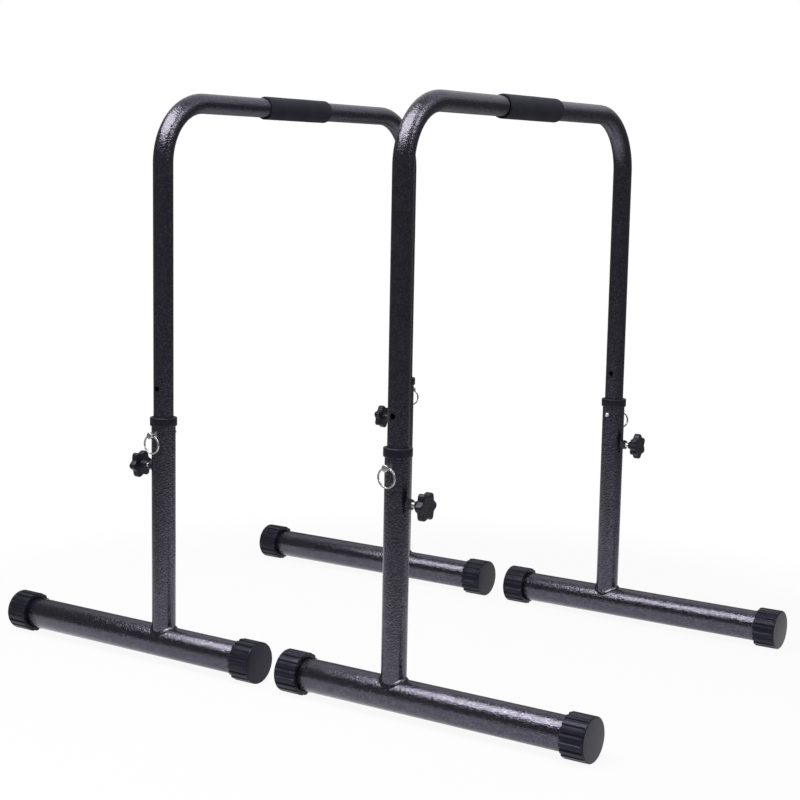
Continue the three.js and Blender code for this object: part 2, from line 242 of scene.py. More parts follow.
class DIP_PG_feet(bpy.types.PropertyGroup):
    """Sizes of the ribbed end caps and the weld beads"""

    ribs: count("Ribs", "Ribs around each end cap", 18, 4)
    crown_share: share("Crown Share", "Flat part of each rib", 0.44)
    groove_share: share("Groove Share", "Flat floor of each groove", 0.12)
    groove_depth: metres("Groove Depth", "How deep the grooves are", 0.0021)
    groove_start: metres("Groove Start", "Where the grooves fade in from the closed end", 0.0012)
    groove_full: metres("Groove Full", "Where the grooves reach their whole depth", 0.0042)
    end_rounding: metres("End Rounding", "Rounding of the cap's closed end", 0.0017)
    rim_rounding: metres("Rim Rounding", "Rounding of the cap's open rim", 0.0007)
    end_wall: metres("End Wall", "Thickness of the cap's closed end", 0.005)
    weld_leg: metres("Weld Leg", "Size of the weld bead", 0.0034)
    weld_ripple: metres("Weld Ripple", "Height of the ripples along the weld bead", 0.00022)
    weld_pitch: metres("Weld Pitch", "Distance between the ripples", 0.0026)


class DIP_PG_collar(bpy.types.PropertyGroup):
    """Sizes of the plastic collars"""

    height: metres("Height", "Height of the collar outside the upright", 0.0135)
    top_wall: metres("Top Wall", "Thickness of the collar's lip", 0.004)
    lower_rounding: metres("Lower Rounding", "Rounding of the collar's lower edge", 0.0016)
    upper_rounding: metres("Upper Rounding", "Rounding of the collar's upper edge", 0.0012)


class DIP_PG_grip(bpy.types.PropertyGroup):
    """Sizes of the foam grips"""

    length: metres("Length", "Length of the foam grip", GRIP_LENGTH)
    diameter: metres("Diameter", "Outside width of the foam grip", GRIP_DIAMETER)
    end_rounding: metres("End Rounding", "Rounding of the grip's ends", 0.0016)
    unevenness: metres("Unevenness", "How far the foam's skin gives way", 0.00022)


class DIP_PG_clamp(bpy.types.PropertyGroup):
    """Sizes of the clamping knobs and their studs"""

    thread_pitch: metres("Thread Pitch", "Pitch of the stud's thread", 0.00125)
    thread_depth: metres("Thread Depth", "Depth of the stud's thread", 0.00068)
    hub_diameter: metres("Hub Diameter", "Width of the knob's hub", 0.013)
    hub_length: metres("Hub Length", "Length of the knob's hub", 0.0105)
    tip_diameter: metres("Tip Diameter", "Width of the knob over its lobes", 0.044)
    lobe_depth: metres("Lobe Depth", "Depth of the knob's flutes", 0.0048)
    lobes: count("Lobes", "Lobes around the knob", 6, 3)
    face_rounding: metres("Face Rounding", "Rounding of the knob's front edge", 0.0024)
    back_rounding: metres("Back Rounding", "Rounding of the knob's back edge", 0.0014)
    left_front_turn: turn("Left Front Turn", "Turn of the left front knob", math.radians(36))
    left_back_turn: turn("Left Back Turn", "Turn of the left back knob", math.radians(10))
    right_front_turn: turn("Right Front Turn", "Turn of the right front knob", math.radians(30))
    right_back_turn: turn("Right Back Turn", "Turn of the right back knob", 0.0)


class DIP_PG_lock(bpy.types.PropertyGroup):
    """Sizes of the lock pins and their split rings"""

    shank_diameter: metres("Shank Diameter", "Width of the pin's shank", 0.0079)
    head_diameter: metres("Head Diameter", "Width of the pin's head", PIN_HEAD_DIAMETER)
    head_rounding: metres("Head Rounding", "Rounding of the head's edges", 0.0009)
    eye_diameter: metres("Eye Diameter", "Width of the cross hole in the head", 0.0051)
    ring_wire: metres("Ring Wire", "Thickness of the ring", 0.0023)
    ring_turn_gap: metres("Ring Turn Gap", "Dark line between the ring's two turns", 0.00006)


class DIP_PG_finish(bpy.types.PropertyGroup):
    """Colours and textures of the five finishes"""

    paint_light: paint("Paint Light", "Hammered paint on its cells", (0.122, 0.117, 0.150))
    paint_dark: paint("Paint Dark", "Hammered paint in its creases", (0.050, 0.048, 0.064))
    hammer_cell: metres("Hammer Cell", "Size of the hammered paint's cells", 0.0034)
    foam_colour: paint("Foam", "Foam of the grips", (0.0140, 0.0136, 0.0225))
    rubber_colour: paint("Rubber", "Rubber of the end caps", (0.0105, 0.0101, 0.0158))
    plastic_colour: paint("Plastic", "Plastic of the collars and knobs", (0.0102, 0.0102, 0.0155))
    zinc_colour: paint("Zinc", "Zinc plating of the pins, rings and studs", (0.80, 0.80, 0.82))


class DIP_PG_stage(bpy.types.PropertyGroup):
    """Sizes of the floor and strengths of the light"""

    floor_radius: metres("Floor Radius", "Radius of the pale floor", 1.15)
    floor_full: metres("Floor Full", "Radius inside which the floor is opaque", 0.72)
    floor_colour: paint("Floor Colour", "Colour of the floor", (0.86, 0.86, 0.86))
    floor_reach: metres("Floor Reach", "Radius to which reflections show the floor", 1.85)
    far_glow: amount("Far Glow", "How bright the floor past its edge is", 0.42)
    fill_strength: amount("Fill", "Strength of the even light", 0.24)
    key_power: amount("Key Light", "Power of the soft box overhead", 66.0)
    key_gloss: amount("Key Gloss", "How bright reflections show it", 7.0)
    key_width: metres("Key Width", "Width of the soft box overhead", 3.0)
    key_depth: metres("Key Depth", "Depth of the soft box overhead", 1.75)
    side_power: amount("Side Light", "Power of the soft box on the right", 8.0)
    side_gloss: amount("Side Gloss", "How bright reflections show it", 5.0)
    side_size: metres("Side Size", "Width of the soft box on the right", 1.2)
    tent_radius: metres("Tent Radius", "Radius of the dark tent", 4.0)
    tent_glow: amount("Tent Glow", "How bright the tent's cloth is", 0.15)
    back_glow: amount("Back Glow", "How bright the tent is high at the back", 0.7)


class DIP_PG_station(bpy.types.PropertyGroup):
    """Every setting of the dip station"""

    tubes: PointerProperty(type=DIP_PG_tubes)
    feet: PointerProperty(type=DIP_PG_feet)
    collar: PointerProperty(type=DIP_PG_collar)
    grip: PointerProperty(type=DIP_PG_grip)
    clamp: PointerProperty(type=DIP_PG_clamp)
    lock: PointerProperty(type=DIP_PG_lock)
    finish: PointerProperty(type=DIP_PG_finish)
    stage: PointerProperty(type=DIP_PG_stage)


# Shapes from rings of points


def polar(radius, angle, height):
    return Vector((radius * math.cos(angle), radius * math.sin(angle), height))


def circle(radius, height, sides):
    step = 2 * math.pi / sides
    return [polar(radius, i * step, height) for i in range(sides)]


def turns(steps):
    """The angles of so many even steps round a whole turn."""
    return [2 * math.pi * step / steps for step in range(steps)]


def quarter(steps):
    """Pairs of 1 - cos and 1 - sin over a quarter turn, for rounded edges."""
    angles = [math.pi / 2 * step / steps for step in range(steps + 1)]
    return [(1 - math.cos(angle), 1 - math.sin(angle)) for angle in angles]


def eased(part):
    """A rise from 0 to 1 that starts and ends gently."""
    t = min(max(part, 0), 1)
    return t * t * (3 - 2 * t)


def build_mesh(name, rings, closes=False, ends="open"):
    """A mesh through rings of points: closes joins the last ring to the first, and ends may be filled."""
    bm = bmesh.new()
    rows = [[bm.verts.new(point) for point in ring] for ring in rings]
    pairs = list(zip(rows, rows[1:]))
    if closes:
        pairs.append((rows[-1], rows[0]))
    for here, there in pairs:
        for step in range(len(here)):
            after = (step + 1) % len(here)
            bm.faces.new((here[step], here[after], there[after], there[step]))
    if ends == "filled":
        bm.faces.new(list(reversed(rows[0])))
        bm.faces.new(rows[-1])
    bmesh.ops.remove_doubles(bm, verts=bm.verts, dist=2e-7)
    bmesh.ops.dissolve_degenerate(bm, edges=bm.edges, dist=1e-7)
    bmesh.ops.recalc_face_normals(bm, faces=bm.faces)
    mesh = bpy.data.meshes.new(name)
    bm.to_mesh(mesh)
    bm.free()
    return mesh


def column(name, levels, sides):
    """A solid through circles given as (radius, height)."""
    return build_mesh(name, [circle(radius, height, sides) for radius, height in levels], ends="filled")


def rounded(points, closes=True, steps=5):
    """Points (radius, height, rounding) as a profile with its corners rounded."""
    profile = []
    for index, (radius, height, rounding) in enumerate(points):
        corner = Vector((radius, height))
        if rounding == 0 or (not closes and index in (0, len(points) - 1)):
            profile.append(corner)
            continue
        before = Vector(points[index - 1][:2]) - corner
        after = Vector(points[(index + 1) % len(points)][:2]) - corner
        start = corner + before.normalized() * min(rounding, before.length * NEAR_HALF)
        end = corner + after.normalized() * min(rounding, after.length * NEAR_HALF)
        for step in range(steps + 1):
            t = step / steps
            # A circle's arc for a square corner, and close to one for any other
            a, b, c = (1 - t) ** 2, 2 * t * (1 - t) * math.sin(math.pi / 4), t**2
            profile.append((start * a + corner * b + end * c) / (a + b + c))
    return profile


def turned(name, points, sides, closes=True, steps=5):
    """A body turned about Z from (radius, height, rounding) points."""
    profile = rounded(points, closes, steps)
    return build_mesh(name, [circle(p.x, p.y, sides) for p in profile], closes=closes)


def smooth(mesh, sharp_over=34):
    """Shades the mesh smooth, apart from edges that turn by more than so many degrees."""
    mesh.shade_smooth()
    mesh.set_sharp_from_angle(angle=math.radians(sharp_over))
    return mesh


def joined(name, meshes):
    bm = bmesh.new()
    for mesh in meshes:
        bm.from_mesh(mesh)
        bpy.data.meshes.remove(mesh)
    whole = bpy.data.meshes.new(name)
    bm.to_mesh(whole)
    bm.free()
    return whole


def add_object(name, data):
    thing = bpy.data.objects.new(name, data)
    bpy.context.scene.collection.objects.link(thing)
    return thing


def carved(mesh, tool, operation="DIFFERENCE"):
    """The mesh with the tool cut away from it, or kept only inside the tool."""
    body, cutter = add_object("body", mesh), add_object("cutter", tool)
    cut = body.modifiers.new("cut", "BOOLEAN")
    cut.object = cutter
    cut.operation = operation
    cut.solver = "EXACT"
    bpy.context.view_layer.update()
    result = bpy.data.meshes.new_from_object(body.evaluated_get(bpy.context.evaluated_depsgraph_get()))
    result.name = mesh.name
    for thing in (body, cutter):
        bpy.data.objects.remove(thing)
    bpy.data.meshes.remove(mesh)
    bpy.data.meshes.remove(tool)
    return result


# Turns that bring Z to each side
TOWARDS_X = Matrix.Rotation(math.pi / 2, 4, "Y")
TOWARDS_Y = Matrix.Rotation(-math.pi / 2, 4, "X")
AWAY_FROM_X = Matrix.Rotation(-math.pi / 2, 4, "Y")
AWAY_FROM_Y = Matrix.Rotation(math.pi / 2, 4, "X")
HALF_TURN = Matrix.Rotation(math.pi, 4, "Z")
NO_TURN = Matrix.Identity(4)


def drill(axis, centre, reach, radius, sides=40):
    """A round tool along X or Y, as long as twice its reach."""
    mesh = column("drill", ((radius, -reach), (radius, reach)), sides)
    mesh.transform(Matrix.Translation(centre) @ (TOWARDS_X if axis == "X" else TOWARDS_Y))
    return mesh


# Where the pieces go


def lay(mesh, direction, height):
    mesh.transform(Matrix.Translation((0, 0, height)) @ direction)


def leg_place(leg, lock=False):
    """The place of a leg's own axis, turned so that its knob or its pin's head points outwards."""
    x, y = middle(f"{leg}_collar", 0), middle(f"{leg}_collar", 1)
    half_turned = leg.endswith("back") if lock else leg.startswith("right")
    return Matrix.Translation((x, y, 0)) @ (HALF_TURN if half_turned else NO_TURN)


def add_piece(name, mesh, place, node, slot):
    """A copy of the mesh at its place, riding on the body of the CAD node that it stands for."""
    own = mesh.copy()
    own.name = name
    own.transform(place)
    own.materials.clear()
    own.materials.append(bpy.data.materials[LOOKS[slot]])
    piece = add_object(name, own)
    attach(piece, frame["nodes"][node]["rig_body"])
    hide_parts(node)
    return piece


def add_to_legs(label, mesh, node, slot, lock=False):
    for leg in LEGS:
        add_piece(f"{leg}_{label}", mesh, leg_place(leg, lock), f"{leg}_{node}", slot)


# Node groups and materials


def add_node(tree, kind, sockets=None, **settings):
    """A node in the next place of its row, with its inputs set or linked, by name or number."""
    node = tree.nodes.new(kind)
    row, step = divmod(len(tree.nodes) - 1, NODES_IN_ROW)
    node.location = (NODE_WIDTH * (step - NODES_IN_ROW), -NODE_HEIGHT * row)
    for key, value in settings.items():
        setattr(node, key, value)
    for key, value in (sockets or {}).items():
        if isinstance(value, bpy.types.NodeSocket):
            tree.links.new(value, node.inputs[key])
        elif isinstance(value, (int, float)):
            node.inputs[key].default_value = value
        else:
            node.inputs[key].default_value = (*value, 1.0)
    return node


def calculate(tree, operation, first, second, clamp=False):
    return add_node(tree, "ShaderNodeMath", {0: first, 1: second}, operation=operation, use_clamp=clamp).outputs[0]


def remap(tree, value, source, target=(0.0, 1.0)):
    sockets = dict(enumerate((value, *source, *target)))
    return add_node(tree, "ShaderNodeMapRange", sockets, interpolation_type="SMOOTHSTEP").outputs[0]


def mix_colours(tree, factor, first, second):
    return add_node(tree, "ShaderNodeMix", {0: factor, 6: first, 7: second}, data_type="RGBA").outputs[2]


def texture(tree, kind, place, feature=None, **sockets):
    settings = {"feature": feature} if feature else {}
    return add_node(tree, f"ShaderNodeTex{kind}", {"Vector": place, **sockets}, **settings).outputs


def spaced(values):
    return {label.replace("_", " "): value for label, value in values.items()}


def new_group(name, **inputs):
    """A shader node group with named inputs: its tree and what it is given."""
    tree = bpy.data.node_groups.new(name, "ShaderNodeTree")
    for label, default in spaced(inputs).items():
        socket = tree.interface.new_socket(label, in_out="INPUT", socket_type="NodeSocketFloat")
        socket.default_value = default
    return tree, add_node(tree, "NodeGroupInput").outputs


def finish_group(tree, **results):
    for label in results:
        tree.interface.new_socket(label, in_out="OUTPUT", socket_type="NodeSocketFloat")
    add_node(tree, "NodeGroupOutput", results)


def scaled_place(tree, size):
    """The point on the piece, counted in units of a size."""
    per_metre = calculate(tree, "DIVIDE", 1.0, size)
    point = add_node(tree, "ShaderNodeTexCoord").outputs["Object"]
    return add_node(tree, "ShaderNodeVectorMath", {0: point, "Scale": per_metre}, operation="SCALE").outputs[0]


def make_hammered_group():
    """Round raised cells with narrow creases between them, each cell a little lighter or darker."""
    tree, given = new_group("hammered_cells", Cell_Size=0.003, Waviness=0.5)
    place = scaled_place(tree, given["Cell Size"])
    wander = texture(tree, "Noise", place, Scale=0.9, Detail=2.0)["Color"]
    shift = {0: wander, "Scale": given["Waviness"]}
    offset = add_node(tree, "ShaderNodeVectorMath", shift, operation="SCALE").outputs[0]
    moved = add_node(tree, "ShaderNodeVectorMath", {0: place, 1: offset}, operation="ADD").outputs[0]
    cells = texture(tree, "Voronoi", moved, "SMOOTH_F1", Scale=1.0, Smoothness=0.35)["Distance"]
    edges = texture(tree, "Voronoi", moved, "DISTANCE_TO_EDGE", Scale=1.0)["Distance"]
    single = texture(tree, "Voronoi", moved, "F1", Scale=1.0)["Color"]
    broad = texture(tree, "Noise", place, Scale=0.35, Detail=3.0)[0]
    dome = remap(tree, cells, (0.0, 0.75), (1.0, 0.0))
    crease = remap(tree, edges, (0.0, 0.16), (1.0, 0.0))
    height = calculate(tree, "SUBTRACT", dome, calculate(tree, "MULTIPLY", crease, 0.35))
    chance = add_node(tree, "ShaderNodeSeparateColor", {0: single}).outputs[0]
    drift = remap(tree, broad, (0.3, 0.7), (-0.2, 0.2))
    tone = calculate(tree, "ADD", chance, drift, clamp=True)
    finish_group(tree, Height=height, Crease=crease, Tone=tone)


def make_grain_group():
    """Fine even grain, as on moulded rubber, plastic, foam skin and plating."""
    tree, given = new_group("fine_grain", Grain_Size=0.0005)
    place = scaled_place(tree, given["Grain Size"])
    fine = texture(tree, "Noise", place, Scale=0.5, Detail=4.0, Roughness=0.6)[0]
    pits = texture(tree, "Voronoi", place, "F1", Scale=0.8)["Distance"]
    height = calculate(tree, "MULTIPLY", fine, remap(tree, pits, (0.05, 0.45)))
    finish_group(tree, Height=height, Speck=remap(tree, fine, (0.42, 0.66)))


def make_handling_group():
    """Broad soft patches, where hands and storage have dulled or polished a surface."""
    tree, given = new_group("handling_marks", Patch_Size=0.03, Amount=0.5)
    place = scaled_place(tree, given["Patch Size"])
    broad = texture(tree, "Noise", place, Scale=1.0, Detail=4.0)[0]
    thin = texture(tree, "Noise", place, Scale=9.0, Detail=6.0, Distortion=0.6)[0]
    soft = remap(tree, broad, (0.35, 0.68))
    within = calculate(tree, "MULTIPLY", remap(tree, thin, (0.6, 0.72)), soft)
    patch = calculate(tree, "MULTIPLY", soft, given["Amount"])
    scuff = calculate(tree, "MULTIPLY", within, given["Amount"])
    finish_group(tree, Patch=patch, Scuff=scuff)


def use_group(tree, group, **values):
    return add_node(tree, "ShaderNodeGroup", spaced(values), node_tree=bpy.data.node_groups[group]).outputs


def new_material(slot, **constants):
    """The slot's material with its Principled BSDF, and constants set on the shader's own sockets."""
    material = bpy.data.materials.new(LOOKS[slot])
    material.use_nodes = True
    tree = material.node_tree
    shader = tree.nodes["Principled BSDF"]
    for label, value in spaced(constants).items():
        shader.inputs[label].default_value = value
    return tree, shader


def dress(tree, shader, colour, roughness, height, distance, strength):
    """Links the colour, the roughness and a bump of the height to the shader."""
    bump = add_node(tree, "ShaderNodeBump", {"Height": height, "Distance": distance, "Strength": strength})
    for label, value in (("Base Color", colour), ("Roughness", roughness), ("Normal", bump.outputs[0])):
        tree.links.new(value, shader.inputs[label])


def times(colour, factor):
    return [part * factor for part in colour]


def make_paint(finish):
    tree, shader = new_material("hammered_paint", Metallic=0.9, IOR=1.45)
    cells = use_group(tree, "hammered_cells", Cell_Size=finish.hammer_cell, Waviness=0.7)
    marks = use_group(tree, "handling_marks", Patch_Size=0.05, Amount=0.6)
    grain = use_group(tree, "fine_grain", Grain_Size=0.0006)
    light = finish.paint_light
    lit = mix_colours(tree, cells["Tone"], light, times(light, 0.6))
    toned = mix_colours(tree, calculate(tree, "MULTIPLY", cells["Crease"], 0.75), lit, finish.paint_dark)
    flaked = mix_colours(tree, calculate(tree, "MULTIPLY", grain["Speck"], 0.18), toned, times(light, 1.7))
    rough = remap(tree, marks["Patch"], (0.0, 1.0), (0.13, 0.18))
    dress(tree, shader, flaked, rough, cells["Height"], distance=0.00019, strength=0.9)


def make_foam(finish):
    tree, shader = new_material(
        "foam", Sheen_Weight=0.05, Sheen_Roughness=0.5, Specular_IOR_Level=0.32, Specular_Tint=COOL
    )
    pores = use_group(tree, "fine_grain", Grain_Size=0.0009)
    marks = use_group(tree, "handling_marks", Patch_Size=0.04, Amount=0.7)
    foam = finish.foam_colour
    worn = mix_colours(tree, marks["Patch"], foam, times(foam, 1.25))
    colour = mix_colours(tree, calculate(tree, "MULTIPLY", pores["Speck"], 0.4), worn, times(foam, 0.6))
    rough = remap(tree, marks["Patch"], (0.0, 1.0), (0.86, 0.74))
    dress(tree, shader, colour, rough, pores["Height"], distance=0.00025, strength=0.6)


def make_plain(slot, colour, grain_size, patch_size, wear, handled, scuffed, roughness, rough_by, bump, **gloss):
    """A finish of one colour, lighter or darker where it is handled or scuffed."""
    tree, shader = new_material(slot, **gloss)
    grain = use_group(tree, "fine_grain", Grain_Size=grain_size)
    marks = use_group(tree, "handling_marks", Patch_Size=patch_size, Amount=wear)
    base = mix_colours(tree, marks["Patch"], colour, times(colour, handled))
    if scuffed:
        base = mix_colours(tree, marks["Scuff"], base, times(colour, scuffed))
    rough = remap(tree, grain["Speck"] if rough_by == "grain" else marks["Patch"], (0.0, 1.0), roughness)
    dress(tree, shader, base, rough, grain["Height"], *bump)


class PieceOperator:
    """What the operators share: each builds one kind of piece, in the order in which they stand here"""

    bl_options = {"REGISTER", "UNDO"}


class DIP_OT_finishes(PieceOperator, bpy.types.Operator):
    """Makes the five finishes and the texture groups that they share"""

    bl_idname = "dip_station.finishes"
    bl_label = "Finishes"

    def execute(self, context):
        finish = context.scene.dip_station.finish
        make_hammered_group()
        make_grain_group()
        make_handling_group()
        make_paint(finish)
        make_foam(finish)
        make_plain(
            "ribbed_rubber", finish.rubber_colour, grain_size=0.0007, patch_size=0.022, wear=0.8,
            handled=1.3, scuffed=2.2, roughness=(0.28, 0.4), rough_by="grain", bump=(0.00012, 0.5),
            Specular_IOR_Level=0.26, Specular_Tint=COLD,
        )
        make_plain(
            "moulded_plastic", finish.plastic_colour, grain_size=0.0005, patch_size=0.018, wear=0.8,
            handled=1.2, scuffed=1.9, roughness=(0.34, 0.46), rough_by="patch", bump=(0.00008, 0.45),
            Specular_IOR_Level=0.41, Specular_Tint=COOL,
        )
        make_plain(
            "zinc_plate", finish.zinc_colour, grain_size=0.0006, patch_size=0.008, wear=0.9,
            handled=0.8, scuffed=None, roughness=(0.24, 0.38), rough_by="patch", bump=(0.00004, 0.4),
            Metallic=1.0,
        )
        return {"FINISHED"}


class DIP_OT_bent_bars(PieceOperator, bpy.types.Operator):
    """Bends each bar's tube and drills the lock pin's holes through both of its legs"""

    bl_idname = "dip_station.bent_bars"
    bl_label = "Bent Bars"

    def execute(self, context):
        tubes = context.scene.dip_station.tubes
        radius = tubes.bar_diameter / 2
        levels = [PIN_HEIGHT + step * tubes.hole_pitch for step in (-1, 0, 1)]
        stations = self.stations(tubes, radius, levels)
        outside = [self.section(station, radius, tubes.sides) for station in stations]
        inside = [self.section(station, radius - tubes.bar_wall, tubes.sides) for station in reversed(stations)]
        tube = build_mesh("bent_bar", outside + inside, closes=True)
        drills = [
            drill("Y", (0, side * LEG_SPACING / 2, level), reach=radius * 1.4, radius=tubes.hole_diameter / 2)
            for level in levels
            for side in (-1, 1)
        ]
        mesh = smooth(carved(tube, joined("drills", drills)))
        for side in SIDES:
            place = Matrix.Translation((middle(f"{side}_bar", 0), 0, 0)) @ (HALF_TURN if side == "right" else NO_TURN)
            add_piece(f"{side}_bent_bar", mesh, place, f"{side}_bar", "hammered_paint")
        return {"FINISHED"}

    def stations(self, tubes, radius, levels):
        """Places and slopes along the middle line: up a leg, along the bar and down again."""
        half, top, bend = LEG_SPACING / 2, BAR_TOP - radius, tubes.bend_radius
        near_hole = tubes.hole_diameter * NEAR_HOLE
        heights = [LEG_END] + [level + side * near_hole for level in levels for side in (-1, 1)]
        line = [(-half, height, math.pi / 2) for height in heights]
        for step, (along, drop) in enumerate(quarter(tubes.bend_steps)):
            slope = math.pi / 2 * (1 - step / tubes.bend_steps)
            line.append((-half + bend * along, top - bend * drop, slope))
        return line + [(-y, z, -slope) for y, z, slope in reversed(line)]

    def section(self, station, radius, sides):
        """A ring about the middle line, square to its slope."""
        y, z, slope = station
        ring = circle(radius, 0, sides)
        return [Vector((p.x, y - p.y * math.sin(slope), z + p.y * math.cos(slope))) for p in ring]


class DIP_OT_foam_grips(PieceOperator, bpy.types.Operator):
    """Turns the foam grips, with rounded ends and a skin that gives way a little"""

    bl_idname = "dip_station.foam_grips"
    bl_label = "Foam Grips"

    def execute(self, context):
        tubes = context.scene.dip_station.tubes
        grip = context.scene.dip_station.grip
        inner = tubes.bar_diameter / 2 + tubes.fit_gap
        outer, half = grip.diameter / 2, grip.length / 2
        length_steps, dents_per_metre = 38, 38
        points = [(inner, -half, LIP), (outer, -half, grip.end_rounding)]
        points += [(outer, -half + 2 * half * step / length_steps, 0) for step in range(1, length_steps)]
        points += [(outer, half, grip.end_rounding), (inner, half, LIP)]
        mesh = turned("foam_grip", points, tubes.sides)
        for vertex in mesh.vertices:
            away = math.hypot(vertex.co.x, vertex.co.y)
            if away > (inner + outer) / 2:
                give = (noise.noise(vertex.co * dents_per_metre) + 1) / 2 * grip.unevenness
                vertex.co.x *= (away - give) / away
                vertex.co.y *= (away - give) / away
        lay(mesh, TOWARDS_Y, BAR_TOP - tubes.bar_diameter / 2)
        smooth(mesh)
        for side in SIDES:
            place = Matrix.Translation((middle(f"{side}_grip", 0), middle(f"{side}_grip", 1), 0))
            piece = add_piece(f"{side}_foam_grip", mesh, place, f"{side}_grip", "foam")
        return {"FINISHED"}


class DIP_OT_foot_tubes(PieceOperator, bpy.types.Operator):
    """Cuts the four straight foot tubes"""

    bl_idname = "dip_station.foot_tubes"
    bl_label = "Foot Tubes"

    def execute(self, context):
        tubes = context.scene.dip_station.tubes
        outer = tubes.foot_diameter / 2
        inner = outer - tubes.foot_wall
        corners = ((inner, FOOT_OUTER_END), (outer, FOOT_OUTER_END), (outer, FOOT_INNER_END), (inner, FOOT_INNER_END))
        mesh = turned("foot_tube", [(*corner, BURR) for corner in corners], tubes.sides, steps=2)
        lay(mesh, TOWARDS_X, FOOT_HEIGHT)
        add_to_legs("foot_pipe", smooth(mesh), "foot_tube", "hammered_paint")
        return {"FINISHED"}


class DIP_OT_end_caps(PieceOperator, bpy.types.Operator):
    """Moulds the ribbed end caps: flat-crowned ribs whose grooves fade out before the round closed end"""

    bl_idname = "dip_station.end_caps"
    bl_label = "End Caps"

    def execute(self, context):
        tubes = context.scene.dip_station.tubes
        feet = context.scene.dip_station.feet
        bore = tubes.foot_diameter / 2 + tubes.fit_gap
        end, rim = feet.end_rounding, feet.rim_rounding
        fade = feet.groove_full - feet.groove_start
        levels = [(end * rise, end * inset) for rise, inset in quarter(steps=7)]
        levels += [(feet.groove_start + fade * part, 0) for part in (0.4, 0.6, 0.8, 1.0)]
        levels += [(CAP_LENGTH * part, 0) for part in (0.35, 0.7)]
        levels += [(CAP_LENGTH - rim * drop, rim * inset) for inset, drop in quarter(steps=3)]
        inside = ((bore + LIP, CAP_LENGTH), (bore, CAP_LENGTH - LIP), (bore, feet.end_wall), (0, feet.end_wall))
        points = self.points_around(feet)
        rings = [[Vector((0, 0, 0)) for _ in points]]
        rings += [self.ring(feet, points, height, inset) for height, inset in levels]
        rings += [[polar(radius, angle, height) for angle, _, _ in points] for radius, height in inside]
        mesh = smooth(build_mesh("end_cap", rings), sharp_over=40)
        for leg in LEGS:
            for name, reach, facing in (("outer", CAP_OUTER_END, NO_TURN), ("inner", CAP_INNER_END, HALF_TURN)):
                place = leg_place(leg) @ Matrix.Translation((reach, 0, FOOT_HEIGHT)) @ facing @ TOWARDS_X
                add_piece(f"{leg}_{name}_ribbed_cap", mesh, place, f"{leg}_{name}_end_cap", "ribbed_rubber")
        return {"FINISHED"}

    def points_around(self, feet):
        """For each point around the cap its angle, how far that is from its rib's middle, and its depth's share."""
        crown, floor, edge = feet.crown_share / 2, (1 - feet.groove_share) / 2, 0.5
        slope_steps = 6
        slope = [crown + (floor - crown) * step / slope_steps for step in range(slope_steps + 1)]
        half_rib = [0, crown * 0.4, crown * 0.75, *slope, (floor + edge) / 2, edge]
        parts = [-part for part in reversed(half_rib[1:-1])] + half_rib
        pitch = 2 * math.pi / feet.ribs
        return [
            ((rib + part) * pitch, part * pitch, eased((abs(part) - crown) / (floor - crown)))
            for rib in range(feet.ribs)
            for part in parts
        ]

    def ring(self, feet, points, height, inset):
        """A ring of ribs and grooves: the crowns are flat, and the grooves fade in from the closed end."""
        fade = eased((height - feet.groove_start) / (feet.groove_full - feet.groove_start))
        crown_turn = feet.crown_share * math.pi / feet.ribs
        ring = []
        for angle, from_middle, depth in points:
            crown = FOOT_HEIGHT / math.cos(min(abs(from_middle), crown_turn))
            ring.append(polar(crown - inset - feet.groove_depth * depth * fade, angle, height))
        return ring


class DIP_OT_uprights(PieceOperator, bpy.types.Operator):
    """Saddles the uprights over the feet and drills the holes for the lock pin and the stud"""

    bl_idname = "dip_station.uprights"
    bl_label = "Uprights"

    def execute(self, context):
        tubes = context.scene.dip_station.tubes
        outer = tubes.upright_diameter / 2
        inner = outer - tubes.upright_wall
        near_hole = tubes.hole_diameter * NEAR_HOLE
        levels = [hole + side * near_hole for hole in (KNOB_HEIGHT, PIN_HEIGHT) for side in (-1, 1)] + [UPRIGHT_TOP]
        outside, inside = (
            [self.saddle(tubes, radius)] + [circle(radius, level, tubes.sides) for level in levels]
            for radius in (outer, inner)
        )
        tube = build_mesh("upright", outside + inside[::-1], closes=True)
        drills = [
            drill("Y", (0, 0, PIN_HEIGHT), reach=outer * 1.3, radius=tubes.hole_diameter / 2),
            drill("X", (-outer, 0, KNOB_HEIGHT), reach=outer * 0.5, radius=STUD_DIAMETER / 2 + tubes.fit_gap),
        ]
        mesh = smooth(carved(tube, joined("drills", drills)))
        add_to_legs("upright_pipe", mesh, "upright", "hammered_paint")
        return {"FINISHED"}

    def saddle(self, tubes, radius):
        foot = tubes.foot_diameter / 2 + tubes.fit_gap
        ring = circle(radius, 0, tubes.sides)
        for point in ring:
            point.z = FOOT_HEIGHT + math.sqrt(foot**2 - point.y**2)
        return ring


